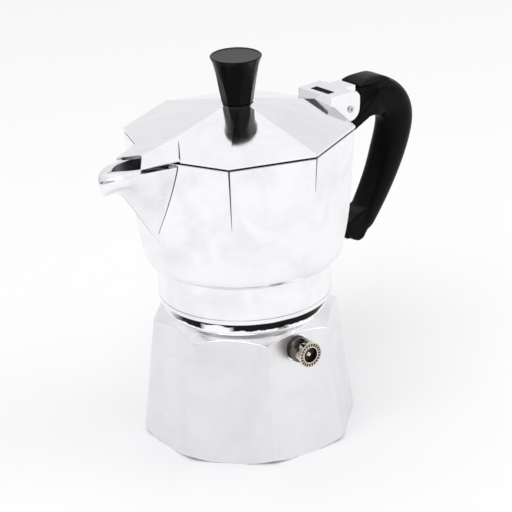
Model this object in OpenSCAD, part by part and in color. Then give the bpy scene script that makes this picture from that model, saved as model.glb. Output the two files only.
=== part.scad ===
// Stovetop moka pot: boiler, filter funnel, coffee collector, hinged lid.
// Z is up, the origin is the middle of the boiler's base, the handle is at +X
// and the spout at -X. All sizes are millimetres.

/* [Boiler] */
// Corner radius of the octagonal boiler at the table
boiler_base_r = 45.7; // [44:0.1:47]
// Corner radius of the boiler at the height of its shoulder
boiler_shoulder_r = 39.4; // [38.8:0.1:40]
// Height of the boiler's corners below the turned shoulder
boiler_shoulder_z = 50.6; // [50:0.1:51]
// Turn of the boiler's facets once the pot is screwed shut
boiler_turn = -5.6; // [-12:0.1:0]
// Wall of the boiler
boiler_wall = 3.3; // [2.8:0.1:3.6]

/* [Screw joint] */
// Radius of the boiler's neck at the thread root
neck_r = 31.4; // [31.2:0.1:31.5]
// Radius of the boiler's mouth
mouth_r = 28.7; // [28.4:0.1:28.9]
// Height of the boiler's mouth
mouth_z = 70; // [69.8:0.1:70.2]
// Rise of the thread in one turn
thread_pitch = 3; // [2.8:0.1:3.2]
// Turns that the collector needs to come free
thread_turns = 2.7; // [2.5:0.1:2.8]

/* [Collector] */
// Corner radius of the collector's octagonal rim
rim_r = 47.2; // [46.8:0.1:47.6]
// Height of the collector's rim
rim_z = 130; // [129.6:0.1:130.2]
// Radius of the round collar over the thread
collar_r = 36; // [35.8:0.1:36.4]
// Corner radius of the collector where its corners start to fade
fade_r = 44.6; // [44.2:0.1:45]
// Height where the collector's corners start to fade
fade_z = 104; // [100:1:108]
// Wall of the collector
collector_wall = 2.4; // [2:0.1:2.8]
// Reach of the spout's lip from the pot's axis
spout_reach = 70.8; // [69:0.1:72]

/* [Lid and knob] */
// Height of the flat top of the lid's pyramid
lid_top_z = 142.2; // [141.6:0.1:142.6]
// Height of the knob's flat top, the pot's overall height
knob_top_z = 162; // [158:0.5:165]
// Radius of the knob's top
knob_top_r = 10.5; // [9.5:0.1:11]

/* [Hinge and handle] */
// Distance of the lid's hinge pin from the pot's axis
hinge_x = 52.6; // [52.4:0.1:52.8]
// Height of the lid's hinge pin
hinge_z = 128; // [127.8:0.1:128.2]
// Radius of the hinge pin
hinge_pin_r = 1.5; // [1.3:0.05:1.6]
// Half of the handle's thickness
handle_half_w = 7.1; // [6.9:0.05:7.1]

/* [Safety valve] */
// Height of the valve's axis
valve_z = 46; // [45.8:0.1:46.4]
// Radius of the valve's bright face ring
valve_ring_r = 5.4; // [5:0.1:5.6]

/* [Hidden] */

fine = 96;
hull_fn = 48;
eps = 0.01;
fit_gap = 0.05;

// Octagons have their corners on the X and Y axes and between them
octagon_flat = cos(22.5);

// Boiler
boiler_taper = (boiler_base_r - boiler_shoulder_r) / boiler_shoulder_z;
base_circle_r = 42.8;
shoulder_slope = 1.55;
neck_step_r = 33.5;
neck_step_z = 58.8;
boiler_floor = 3.5;

// Screw joint
thread_steps = 48;
thread_depth = 1.1;
thread_root_w = 1.7;
thread_crest_w = 0.9;
thread_first_z = 61.9;
collar_bore_r = 32.9;
collar_z = 59.4;
seat_z = 73.4;

// Collector
bulge_r = 41.5;
bulge_z = 82;
collar_top_z = 75.7;
floor_z = 79;
boss_r = 8;
boss_z = 87.5;
chimney_r = 5.6;
chimney_top_z = 118;

// Lid
lid_low_z = 130.7;
lid_edge_z = 131.6;
lid_apex_r = 6.9;
lid_wall = 1.6;
hood_front_x = 41.6;
hood_rear_x = 60;
hood_top_z = 135.7;
hood_under_z = 133.1;
hood_half_w = 10.2;
tail_half_w = 5;
ear_in_y = 7.35;
ear_out_y = 9.9;
ear_r = 5.2;

// Handle
handle_start_x = 62.3;
cavity_r = 10.8;
cavity_half_w = 5.4;
lug_half_w = 2.4;
slot_half_w = 2.6;

// Safety valve: distances run outward from the spot face on the boiler
valve_turn = boiler_turn - 90;
valve_face_x = 36.3;
washer_t = 1;
flange_end = 2.6;
hex_end = 6;
ring_end = 9.3;
shank_r = 4.4;
shank_end = -7.5;
wall_inside = -3.2;
nut_t = 2.6;
chamber_r = 3;
seat_u = -3;
seal_t = 0.8;
plunger_collar_t = 1;
rod_r = 1.1;
cap_u = 5;
cap_t = 1.6;

// ---- shared shapes ----

// Closed solid through a row of loops that all have the same number of points
module sweep(rings) {
    n = len(rings[0]);
    m = len(rings);
    polyhedron(
        points = [for (loop = rings) each loop],
        faces = concat(
            [[for (i = [n - 1 : -1 : 0]) i]],
            [[for (i = [0 : n - 1]) (m - 1) * n + i]],
            [
                for (j = [0 : m - 2], i = [0 : n - 1])
                    let (k = (i + 1) % n)
                    each [
                        [j * n + i, (j + 1) * n + k, (j + 1) * n + i],
                        [j * n + i, j * n + k, (j + 1) * n + k]
                    ]
            ]
        )
    );
}

// Helical ridge between two radii, which fades in and out at its ends
module thread_ridge(root_r, crest_r, z_start, turns) {
    last = round(turns * thread_steps);
    fade_steps = 6;
    outward = sign(crest_r - root_r);
    sweep([
        for (i = [0 : last])
            let (
                a = 360 * i / thread_steps,
                z = z_start + thread_pitch * i / thread_steps,
                fade = min(1, (i + 0.2) / fade_steps, (last - i + 0.2) / fade_steps),
                r = root_r + (crest_r - root_r) * fade,
                half_root = outward * thread_root_w / 2,
                half_crest = outward * thread_crest_w / 2
            )
            [
                for (p = [[root_r, -half_root], [r, -half_crest], [r, half_crest], [root_r, half_root]])
                    [p[0] * cos(a), p[0] * sin(a), z + p[1]]
            ]
    ]);
}

module octagon(corner_r) {
    polygon([for (k = [0 : 7]) [corner_r * cos(45 * k), corner_r * sin(45 * k)]]);
}

module tube(outer_r, inner_r, low_z, high_z) {
    translate([0, 0, low_z])
        difference() {
            cylinder(r = outer_r, h = high_z - low_z, $fn = fine);
            translate([0, 0, -1]) cylinder(r = inner_r, h = high_z - low_z + 2, $fn = fine);
        }
}

// Round disc with rings of small holes
module sieve(disc_r, thickness, hole_r, ring_gap, rings) {
    linear_extrude(thickness)
        difference() {
            circle(r = disc_r, $fn = fine);
            circle(r = hole_r, $fn = 24);
            for (k = [1 : rings], i = [0 : 6 * k - 1])
                rotate(60 * i / k) translate([k * ring_gap, 0]) circle(r = hole_r, $fn = 24);
        }
}

// Extrudes an outline drawn in X and Z between two distances along Y
module between_y(y_low, y_high) {
    translate([0, y_high, 0]) rotate([90, 0, 0]) linear_extrude(y_high - y_low) children();
}

module across_y(half_w) {
    between_y(-half_w, half_w) children();
}

// Places a shape that is drawn along +Z, from the spot face, on the valve's axis
module on_valve_axis() {
    rotate([0, 0, valve_turn]) translate([valve_face_x, 0, valve_z]) rotate([0, 90, 0]) children();
}

// ---- boiler ----

module boiler_outside() {
    shoulder_edge_r = 46.5;
    shoulder_edge_z = boiler_shoulder_z - (shoulder_edge_r - boiler_shoulder_r) / shoulder_slope;
    intersection() {
        rotate([0, 0, 22.5 + boiler_turn])
            translate([0, 0, -1])
                cylinder(
                    h = mouth_z + 1,
                    r1 = boiler_base_r + boiler_taper,
                    r2 = boiler_base_r - boiler_taper * mouth_z,
                    $fn = 8
                );
        rotate_extrude($fn = fine)
            polygon([
                [0, 0],
                [base_circle_r, 0],
                [shoulder_edge_r, 2.8],
                [shoulder_edge_r, shoulder_edge_z],
                [neck_step_r, boiler_shoulder_z + (boiler_shoulder_r - neck_step_r) / shoulder_slope],
                [neck_step_r, neck_step_z],
                [neck_r, neck_step_z],
                [neck_r, mouth_z],
                [0, mouth_z]
            ]);
    }
}

module boiler_inside() {
    low_r = (boiler_base_r - 10 * boiler_taper) * octagon_flat - boiler_wall;
    high_r = (boiler_base_r - 49 * boiler_taper) * octagon_flat - boiler_wall;
    rotate_extrude($fn = fine)
        polygon([
            [0, boiler_floor],
            [low_r - 2, boiler_floor],
            [low_r, boiler_floor + 2],
            [low_r, 10],
            [high_r, 49.5],
            [mouth_r, 53.5],
            [mouth_r, mouth_z + 1],
            [0, mouth_z + 1]
        ]);
}

module boiler() {
    color("gainsboro")
    difference() {
        union() {
            boiler_outside();
            thread_ridge(neck_r - 0.3, neck_r + thread_depth, thread_first_z, thread_turns - 0.3);
        }
        boiler_inside();
        on_valve_axis() cylinder(r = valve_ring_r + 0.4, h = 10, $fn = fine);
        on_valve_axis() translate([0, 0, -12]) cylinder(r = shank_r + fit_gap, h = 14, $fn = fine);
        on_valve_axis() translate([0, 0, wall_inside - 9]) cylinder(r = 6.6, h = 9, $fn = fine);
    }
}

// ---- safety valve ----

module valve_washer() {
    color("dimgray")
    on_valve_axis() tube(5.1, shank_r + 0.1, 0, washer_t);
}

module valve_body() {
    hex_corner_r = 5.5;
    color("darkgoldenrod")
    on_valve_axis()
        difference() {
            union() {
                translate([0, 0, shank_end])
                    cylinder(r = shank_r, h = washer_t - shank_end + 0.5, $fn = fine);
                translate([0, 0, washer_t]) cylinder(r = 5, h = flange_end - washer_t, $fn = fine);
                translate([0, 0, flange_end])
                    cylinder(r = hex_corner_r, h = hex_end - flange_end, $fn = 6);
            }
            translate([0, 0, seat_u]) cylinder(r = chamber_r, h = 20, $fn = fine);
            translate([0, 0, shank_end - 1]) cylinder(r = 1.5, h = 20, $fn = fine);
        }
}

module valve_lock_nut() {
    color("goldenrod")
    on_valve_axis()
        translate([0, 0, wall_inside - nut_t])
            difference() {
                cylinder(r = 6.1, h = nut_t, $fn = 6);
                translate([0, 0, -1]) cylinder(r = shank_r + fit_gap, h = nut_t + 2, $fn = fine);
            }
}

// Ring with a recess, whose inner wall guides the rod and holds the spring
module valve_face_ring() {
    color("silver")
    on_valve_axis()
        difference() {
            union() {
                translate([0, 0, hex_end]) cylinder(r = valve_ring_r, h = ring_end - hex_end, $fn = fine);
                translate([0, 0, cap_u]) cylinder(r = chamber_r - 0.02, h = 2, $fn = fine);
            }
            translate([0, 0, cap_u + cap_t]) cylinder(r = 3.3, h = 9, $fn = fine);
            translate([0, 0, cap_u - 1]) cylinder(r = rod_r + 0.08, h = 9, $fn = fine);
        }
}

module valve_plunger() {
    collar_u = seat_u + seal_t;
    color("silver")
    on_valve_axis()
        rotate_extrude($fn = fine)
            polygon([
                [0, collar_u],
                [2.6, collar_u],
                [2.6, collar_u + plunger_collar_t],
                [rod_r, collar_u + plunger_collar_t],
                [rod_r, 7.8],
                [rod_r - 0.4, 8.2],
                [0, 8.2]
            ]);
}

module valve_seal() {
    color("firebrick")
    on_valve_axis() translate([0, 0, seat_u]) cylinder(r = 2.5, h = seal_t, $fn = fine);
}

module valve_spring() {
    wire_r = 0.3;
    coil_r = 2;
    coils = 5;
    steps = 14;
    low = seat_u + seal_t + plunger_collar_t + wire_r + eps;
    high = cap_u - wire_r - eps;
    color("lightgray")
    on_valve_axis()
        sweep([
            for (i = [0 : coils * steps])
                let (a = 360 * i / steps, u = low + (high - low) * i / (coils * steps))
                [
                    for (k = [0 : 5])
                        let (r = coil_r + wire_r * cos(60 * k))
                        [r * cos(a), r * sin(a), u + wire_r * sin(60 * k)]
                ]
        ]);
}

// ---- filter funnel ----

funnel_rim_t = 0.8;
cup_r = 28.2;
cup_low_z = 52;
ledge_t = 0.8;
stem_r = 6;

module funnel_cup() {
    color("silver")
    rotate_extrude($fn = fine)
        polygon([
            [cup_r, mouth_z],
            [31.1, mouth_z],
            [31.1, mouth_z + funnel_rim_t],
            [cup_r - 0.8, mouth_z + funnel_rim_t],
            [cup_r - 0.8, cup_low_z + ledge_t],
            [cup_r - 2.6, cup_low_z + ledge_t],
            [cup_r - 2.6, cup_low_z - 1],
            [stem_r, 41],
            [stem_r, 36],
            [stem_r + 0.8, 36],
            [stem_r + 0.8, 40],
            [cup_r, cup_low_z - 2]
        ]);
}

module funnel_tube() {
    color("silver")
    tube(stem_r, stem_r - 0.9, 6, 41);
}

module funnel_strainer() {
    color("lightgray")
    translate([0, 0, cup_low_z + ledge_t]) sieve(cup_r - 0.85, 0.8, 0.6, 4.5, 5);
}

// ---- seal between boiler and collector ----

module gasket() {
    low = mouth_z + funnel_rim_t;
    color("whitesmoke")
    rotate_extrude($fn = fine)
        polygon([
            [26, low + 0.4],
            [26.4, low],
            [31.9, low],
            [32.3, low + 0.4],
            [32.3, seat_z - 0.4],
            [31.9, seat_z],
            [26.4, seat_z],
            [26, seat_z - 0.4]
        ]);
}

module filter_plate() {
    color("lightgray")
    translate([0, 0, seat_z]) sieve(28.2, 0.8, 0.55, 4.4, 5);
}

// ---- collector ----

// Steep rounding under the bulge, from the collar out to the widest circle,
// with an even gap added outside it
function bulge_point(a, gap) = [
    collar_r + gap + (bulge_r - collar_r) * sin(a),
    bulge_z - (bulge_z - collar_top_z + gap) * cos(a)
];
function bulge_curve(gap) = [for (a = [0 : 15 : 90]) bulge_point(a, gap)];

// Octagonal from the rim down to the fade, and round at the bulge
module collector_outside(gap) {
    hull() {
        translate([0, 0, rim_z - eps]) linear_extrude(eps) octagon(rim_r + gap);
        translate([0, 0, fade_z]) linear_extrude(eps) octagon(fade_r + gap);
    }
    hull() {
        translate([0, 0, fade_z]) linear_extrude(eps) octagon(fade_r + gap);
        translate([0, 0, bulge_z]) cylinder(r = bulge_r + gap, h = eps, $fn = hull_fn);
    }
    rotate_extrude($fn = fine)
        polygon(concat(
            [[0, collar_z - gap], [collar_r + gap, collar_z - gap]],
            bulge_curve(gap),
            [[bulge_r + gap - 0.6, bulge_z + 3], [0, bulge_z + 3]]
        ));
}

module collector_inside() {
    inner_rim_r = rim_r - collector_wall / octagon_flat;
    inner_r = bulge_r - collector_wall;
    inner_fade_r = fade_r - collector_wall / octagon_flat;
    hull() {
        translate([0, 0, rim_z + 1]) linear_extrude(eps) octagon(inner_rim_r);
        translate([0, 0, fade_z]) linear_extrude(eps) octagon(inner_fade_r);
    }
    hull() {
        translate([0, 0, fade_z]) linear_extrude(eps) octagon(inner_fade_r);
        translate([0, 0, bulge_z + 1]) cylinder(r = inner_r, h = eps, $fn = hull_fn);
    }
    rotate_extrude($fn = fine)
        polygon([
            [0, 84],
            [boss_r + 0.5, 84],
            [33, floor_z],
            [36.8, floor_z + 1.2],
            [inner_r - 0.2, bulge_z + 1.5],
            [0, bulge_z + 4]
        ]);
}

// Hollow under the floor: thread bore, seat of the gasket and coffee passage
module collector_underside() {
    rotate_extrude($fn = fine)
        polygon([
            [0, collar_z - 1],
            [collar_bore_r, collar_z - 1],
            [collar_bore_r, seat_z],
            [28.5, seat_z],
            [28.5, seat_z + 0.8],
            [25, seat_z + 0.8],
            [4, 81],
            [0, 81]
        ]);
    cylinder(r = 4, h = 100, $fn = fine);
    translate([0, 0, 82]) cylinder(r = chimney_r, h = 20, $fn = fine);
}

// Section of the spout where its keel turns up towards the lip
module spout_throat() {
    for (s = [-1, 1]) translate([-57, 7.8 * s, rim_z - 2.4]) cylinder(r = 0.8, h = 1, $fn = 12);
    translate([-57, 0, 115]) sphere(r = 1.5, $fn = 12);
}

module spout_outside() {
    hull() {
        for (s = [-1, 1]) translate([-38, 12.6 * s, rim_z - 1]) cube(1, center = true);
        translate([-39, 0, 87]) sphere(r = 2, $fn = 12);
        spout_throat();
    }
    hull() {
        spout_throat();
        for (s = [-1, 1]) translate([-66.5, 5.4 * s, 126.6]) sphere(r = 0.9, $fn = 12);
        translate([1.5 - spout_reach, 0, 125.6]) sphere(r = 1.5, $fn = 12);
        translate([-61.8, 0, 122.6]) sphere(r = 1.4, $fn = 12);
    }
}

module spout_inside() {
    hull() {
        for (s = [-1, 1]) {
            translate([-37, 10.2 * s, rim_z + 1]) cube(1, center = true);
            translate([-57, 6 * s, rim_z + 1]) cube(1, center = true);
            translate([-65.5, 3.8 * s, rim_z - 1.4]) cube(1, center = true);
        }
        translate([-37, 0, 96]) cube(1, center = true);
        translate([-67.6, 0, rim_z - 1.6]) cube([4, 2, 1], center = true);
        translate([-62, 0, 127.3]) cube(1, center = true);
    }
}

// Tongue that carries the hinge pin, between the two prongs of the handle
module hinge_lug() {
    across_y(lug_half_w) {
        polygon([[42, 107.5], [50, 112.2], [53.2, 117.5], [53.2, 124.5], [48.6, 129.4], [42, 129.4]]);
        translate([hinge_x, hinge_z]) circle(r = 4, $fn = 48);
    }
}

// Lower tongue that the handle's foot hooks on to
module foot_lug() {
    across_y(lug_half_w)
        polygon([[34.5, 66.5], [48, 68.4], [52, 70.6], [52, 73.4], [49.5, 73.4], [49.5, 74.4], [38, 76], [34.5, 75.6]]);
}

module collector() {
    color("gainsboro")
    difference() {
        union() {
            collector_outside(0);
            spout_outside();
            hinge_lug();
            foot_lug();
        }
        collector_inside();
        collector_underside();
        spout_inside();
        across_y(20) translate([hinge_x, hinge_z]) circle(r = hinge_pin_r + fit_gap, $fn = fine);
        difference() {
            translate([0, 0, collar_top_z - 0.5]) cylinder(r = collar_r + 2, h = 0.3, $fn = fine);
            cylinder(r = collar_r - 0.25, h = 90, $fn = fine);
        }
    }
    color("gainsboro")
    difference() {
        tube(boss_r, chimney_r, 83, boss_z);
        cylinder(r = 4, h = 82, $fn = fine);
    }
    color("gainsboro")
    thread_ridge(
        collar_bore_r + 0.3,
        collar_bore_r - thread_depth,
        thread_first_z - thread_pitch / 2,
        thread_turns
    );
}

module chimney() {
    bore_r = 4;
    tip_r = 4.9;
    color("silver")
    difference() {
        rotate_extrude($fn = fine)
            polygon([
                [bore_r, 82],
                [chimney_r, 82],
                [chimney_r, boss_z + 0.5],
                [tip_r, chimney_top_z - 1],
                [tip_r - 1, chimney_top_z],
                [0, chimney_top_z],
                [0, chimney_top_z - 1.2],
                [tip_r - 1.3, chimney_top_z - 1.2]
            ]);
        translate([-2.2, -10, chimney_top_z - 9]) cube([4.4, 20, 6]);
    }
}

// ---- lid ----

// Pyramid between the lid's edge and its small flat top, lowered by drop
module lid_pyramid(drop) {
    translate([0, 0, lid_edge_z - drop])
        cylinder(r1 = rim_r, r2 = lid_apex_r, h = lid_top_z - lid_edge_z, $fn = 8);
}

// Raised roof over the spout, with a notch in its end
module beak() {
    difference() {
        hull() {
            for (s = [-1, 1]) {
                translate([-41.4, 13.2 * s, lid_edge_z]) cube([0.5, 0.5, 1.6], center = true);
                translate([-57, 7.3 * s, 130.7]) cube([0.5, 0.5, 0.8], center = true);
            }
            translate([-31.5, 0, 135.1]) cube([0.5, 0.5, 1.2], center = true);
            translate([-57, 0, 131.2]) cube([0.5, 0.5, 0.6], center = true);
        }
        translate([0, 0, 120])
            linear_extrude(20) polygon([[-50.3, 0.8], [-60, 11.9], [-60, -11.9], [-50.3, -0.8]]);
        hull() {
            for (s = [-1, 1]) {
                translate([-38, 12 * s, lid_edge_z - 1.6]) cube([0.5, 0.5, 1.2], center = true);
                translate([-60, 5.6 * s, 129]) cube([0.5, 0.5, 1.1], center = true);
            }
            translate([-31, 0, 133.2]) cube([0.5, 0.5, 1.2], center = true);
            translate([-60, 0, 129.3]) cube([0.5, 0.5, 1.1], center = true);
        }
    }
}

// Block over the hinge, with a narrower tail and a cast slot
module hood() {
    tail_x = 54;
    difference() {
        union() {
            across_y(hood_half_w)
                polygon([
                    [hood_front_x, 130.6],
                    [hood_front_x, hood_top_z],
                    [tail_x, hood_top_z],
                    [tail_x, hood_under_z],
                    [49.4, hood_under_z],
                    [47.2, 131.6],
                    [47, lid_low_z],
                    [44, lid_low_z]
                ]);
            across_y(tail_half_w)
                translate([50, hood_under_z]) square([hood_rear_x - 50, hood_top_z - hood_under_z]);
        }
        translate([44.3, -4.8, hood_top_z - 2.3]) cube([3.4, 9.6, 5]);
    }
}

module lid_ears() {
    for (y = [-ear_out_y, ear_in_y])
        between_y(y, y + ear_out_y - ear_in_y)
            difference() {
                union() {
                    polygon([
                        [43.6, 131],
                        [43.6, hood_top_z - 1],
                        [56.6, hood_top_z - 1],
                        [58, hood_top_z - 2.9],
                        [58, 129.4],
                        [hinge_x + ear_r, hinge_z],
                        [hinge_x - 3.6, hinge_z - 2.8]
                    ]);
                    translate([hinge_x, hinge_z]) circle(r = ear_r, $fn = 48);
                }
                translate([hinge_x, hinge_z]) circle(r = hinge_pin_r + fit_gap, $fn = fine);
            }
}

// Hollow of the lid, kept inside its skirt
module lid_inside(inner_r) {
    roof_low_z = lid_edge_z - lid_wall;
    intersection() {
        union() {
            lid_pyramid(lid_wall);
            translate([0, 0, roof_low_z - 5]) linear_extrude(5 + eps) octagon(rim_r);
        }
        translate([0, 0, roof_low_z - 6]) linear_extrude(30) octagon(inner_r);
    }
}

// Rim that centres the lid in the collector, open at the spout and at the hinge
module lid_skirt(outer_r) {
    notch_w = 22;
    difference() {
        translate([0, 0, lid_low_z - 1.6]) linear_extrude(2) octagon(outer_r);
        for (x = [-60, 36]) translate([x, -notch_w / 2, lid_low_z - 3]) cube([24, notch_w, 3]);
    }
}

module lid() {
    skirt_r = rim_r - (collector_wall + 0.7) / octagon_flat;
    skirt_wall = 1.4;
    color("gainsboro")
    difference() {
        union() {
            lid_pyramid(0);
            translate([0, 0, lid_low_z]) linear_extrude(lid_edge_z - lid_low_z + eps) octagon(rim_r);
            lid_skirt(skirt_r);
            beak();
            hood();
        }
        lid_inside(skirt_r - skirt_wall);
        translate([0, 0, lid_top_z - 5]) cylinder(r = 2.05, h = 10, $fn = fine);
    }
    color("gainsboro") lid_ears();
}

// ---- knob ----

knob_waist_r = 6.6;
knob_foot_r = 6.1;

// Half profile that flares towards the top
function knob_radius(t) = knob_waist_r + (knob_top_r - knob_waist_r) * pow(t, 1.35);

module knob() {
    height = knob_top_z - lid_top_z;
    color([0.07, 0.07, 0.08])
    difference() {
        rotate_extrude($fn = fine)
            polygon(concat(
                [[0, lid_top_z], [knob_foot_r, lid_top_z]],
                [for (i = [0 : 12]) [knob_radius(i / 12), lid_top_z + 0.6 + (height - 1.1) * i / 12]],
                [[knob_top_r - 0.4, knob_top_z], [knob_top_r - 1.2, knob_top_z - 0.3], [0, knob_top_z - 0.3]]
            ));
        translate([0, 0, lid_top_z - 1]) cylinder(r = 2, h = 13, $fn = fine);
    }
}

module knob_screw() {
    head_top_z = lid_top_z - lid_wall;
    color("silver")
    difference() {
        union() {
            translate([0, 0, head_top_z - 2.2]) cylinder(r = 3.6, h = 2.2, $fn = fine);
            translate([0, 0, head_top_z - 1]) cylinder(r = 1.95, h = 12, $fn = fine);
        }
        translate([-5, -0.5, head_top_z - 3]) cube([10, 1, 1.8]);
    }
}

// ---- handle and hinge pin ----

function bezier(p, t) = p[0] * pow(1 - t, 3) + 3 * p[1] * t * pow(1 - t, 2)
    + 3 * p[2] * t * t * (1 - t) + p[3] * pow(t, 3);

function bezier_slope(p, t) = 3 * (p[1] - p[0]) * pow(1 - t, 2)
    + 6 * (p[2] - p[1]) * t * (1 - t) + 3 * (p[3] - p[2]) * t * t;

grip_curve = [[61.2, 66.8], [72.6, 80.6], [84.2, 99], [86.6, 111.5]];
bend_curve = [[86.6, 111.5], [88.5, 121.2], [79.2, 127.4], [70, 128.9]];

// Oval loop across the grip, square to its curve in X and Z
function grip_ring(p, dir, half_depth, half_w) = [
    for (k = [0 : 15])
        let (
            a = 360 * k / 16 + 11.25,
            u = dir / norm(dir),
            c = half_depth * sign(cos(a)) * pow(abs(cos(a)), 0.8),
            s = half_w * sign(sin(a)) * pow(abs(sin(a)), 0.8)
        )
        [p[0] - u[1] * c, s, p[1] + u[0] * c]
];

module grip() {
    steps = 10;
    sweep(concat(
        [
            for (i = [0 : steps - 1])
                let (t = i / steps, soft = min(1, 0.62 + 3 * t))
                grip_ring(
                    bezier(grip_curve, t),
                    bezier_slope(grip_curve, t),
                    (8.2 - 3.2 * pow(1 - t, 2)) * soft,
                    (6 + 1 * t) * soft
                )
        ],
        [
            for (i = [0 : steps])
                let (t = i / steps)
                grip_ring(
                    bezier(bend_curve, t),
                    bezier_slope(bend_curve, t),
                    8.2 + 0.4 * sin(180 * t) - 0.6 * t,
                    handle_half_w - 0.1 + 0.1 * t
                )
        ]
    ));
}

// Fork round the hinge under a roof whose long edges are chamfered
module handle_head() {
    roof_z = 136.8;
    chamfer = 3.5;
    intersection() {
        across_y(handle_half_w)
            polygon([
                [handle_start_x, 134.9],
                [65, 136],
                [69, roof_z],
                [74, 136.4],
                [76, 122],
                [74, 118.5],
                [70, 120.3],
                [67, 120.6],
                [57.8, 116.5],
                [44, 110.3],
                [44, 117.5],
                [50.2, 120.4],
                [hinge_x - 4, hinge_z - 3],
                [hinge_x + 3, hinge_z - 4.5],
                [56, 121.6],
                [62.9, 124.6],
                [63.1, 132.4],
                [handle_start_x, 132.8]
            ]);
        rotate([90, 0, 90])
            linear_extrude(100)
                polygon([
                    [-handle_half_w, 0],
                    [handle_half_w, 0],
                    [handle_half_w, roof_z - chamfer],
                    [handle_half_w - chamfer, roof_z],
                    [chamfer - handle_half_w, roof_z],
                    [-handle_half_w, roof_z - chamfer]
                ]);
    }
    across_y(handle_half_w) translate([hinge_x, hinge_z]) circle(r = 4.2, $fn = 48);
}

// Block at the grip's lower end that reaches round the collector's lower tongue
module handle_foot() {
    across_y(5.4)
        polygon([
            [66, 80],
            [64.6, 67.6],
            [62.2, 64.8],
            [60, 64.8],
            [57.6, 66.2],
            [55.8, 67.6],
            [54.4, 67.2],
            [50, 71.4],
            [44, 69],
            [38.5, 69],
            [38.5, 74.6],
            [50, 75],
            [57, 75.6],
            [60, 77.5]
        ]);
}

module handle() {
    body_gap = 0.15;
    color([0.08, 0.08, 0.09])
    difference() {
        union() {
            grip();
            handle_head();
            handle_foot();
        }
        collector_outside(body_gap);
        translate([40, -slot_half_w, 100]) cube([17.2, 2 * slot_half_w, 40]);
        translate([34, -slot_half_w, 60]) cube([18.3, 2 * slot_half_w, 30]);
        across_y(cavity_half_w) translate([hinge_x, hinge_z]) circle(r = cavity_r, $fn = fine);
        across_y(20) translate([hinge_x, hinge_z]) circle(r = hinge_pin_r + fit_gap, $fn = fine);
    }
}

module hinge_pin() {
    color("silver")
    difference() {
        across_y(ear_out_y + 0.5) translate([hinge_x, hinge_z]) circle(r = hinge_pin_r, $fn = fine);
        for (y = [-ear_out_y - 0.6, ear_out_y - 0.1])
            between_y(y, y + 0.7) translate([hinge_x, hinge_z]) circle(r = 0.7, $fn = 24);
    }
}

boiler();
valve_washer();
valve_body();
valve_lock_nut();
valve_face_ring();
valve_plunger();
valve_seal();
valve_spring();
funnel_cup();
funnel_tube();
funnel_strainer();
gasket();
filter_plate();
collector();
chimney();
lid();
knob();
knob_screw();
handle();
hinge_pin();
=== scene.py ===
import math

import bmesh
import bpy
import numpy as np
from mathutils import Matrix, Vector


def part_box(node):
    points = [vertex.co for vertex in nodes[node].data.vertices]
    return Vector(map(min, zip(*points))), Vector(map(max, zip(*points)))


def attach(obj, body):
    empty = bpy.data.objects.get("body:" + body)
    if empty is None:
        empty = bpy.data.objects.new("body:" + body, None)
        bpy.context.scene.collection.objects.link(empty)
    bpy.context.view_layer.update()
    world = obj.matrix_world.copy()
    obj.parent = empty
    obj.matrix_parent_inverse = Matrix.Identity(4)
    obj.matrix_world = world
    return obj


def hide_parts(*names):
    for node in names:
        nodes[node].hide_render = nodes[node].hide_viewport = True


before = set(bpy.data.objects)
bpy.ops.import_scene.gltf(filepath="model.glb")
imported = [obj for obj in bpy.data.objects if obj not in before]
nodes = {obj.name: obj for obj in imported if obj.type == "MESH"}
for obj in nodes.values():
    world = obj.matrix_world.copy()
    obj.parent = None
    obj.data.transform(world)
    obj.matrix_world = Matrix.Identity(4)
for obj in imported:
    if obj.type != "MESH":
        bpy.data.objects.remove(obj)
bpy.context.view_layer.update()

# All shapes below are written in millimetres and scaled once, when a mesh is made.
MM = 0.001
OCTAGON_FLAT = math.cos(math.radians(22.5))


def box_mm(node):
    low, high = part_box(node)
    return low / MM, high / MM


# ---------------------------------------------------------------- sizes from the frame
boiler_low, boiler_high = box_mm("boiler")
collector_low, collector_high = box_mm("collector")
lid_low, lid_high = box_mm("lid")
knob_low, knob_high = box_mm("knob")
pin_low, pin_high = box_mm("hinge_pin")
ring_low, ring_high = box_mm("valve_face_ring")
handle_low, handle_high = box_mm("handle")

MOUTH_Z = boiler_high.z
COLLAR_Z = collector_low.z
RIM_Z = 130.0
RIM_R = 47.2
BULGE_R = 41.5
BULGE_Z = 82.0
COLLAR_R = 36.0
COLLAR_TOP_Z = 75.7
COLLECTOR_WALL = 2.4
KNOB_LOW_Z = knob_low.z
KNOB_TOP_Z = knob_high.z
KNOB_R = (knob_high.x - knob_low.x) / 2
PIN_R = (pin_high.z - pin_low.z) / 2
HINGE_X = (pin_low.x + pin_high.x) / 2
HINGE_Z = (pin_low.z + pin_high.z) / 2
PIN_HALF_LENGTH = pin_high.y

BOILER_TURN = -5.6
BOILER_BASE_R = 45.7
BOILER_SHOULDER_R = 39.4
BOILER_SHOULDER_Z = 50.6
BOILER_TAPER = (BOILER_BASE_R - BOILER_SHOULDER_R) / BOILER_SHOULDER_Z
SHOULDER_SLOPE = 1.55
NECK_R = 31.4
NECK_STEP_R = 33.5
NECK_STEP_Z = 58.8
MOUTH_R = 28.7
THREAD_PITCH = 3.0
THREAD_FIRST_Z = 61.9
THREAD_TURNS = 2.7
THREAD_DEPTH = 1.1

VALVE_TURN = BOILER_TURN - 90
VALVE_Z = (ring_low.z + ring_high.z) / 2
VALVE_FACE_X = 36.3
VALVE_RING_R = (ring_high.z - ring_low.z) / 2


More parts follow.
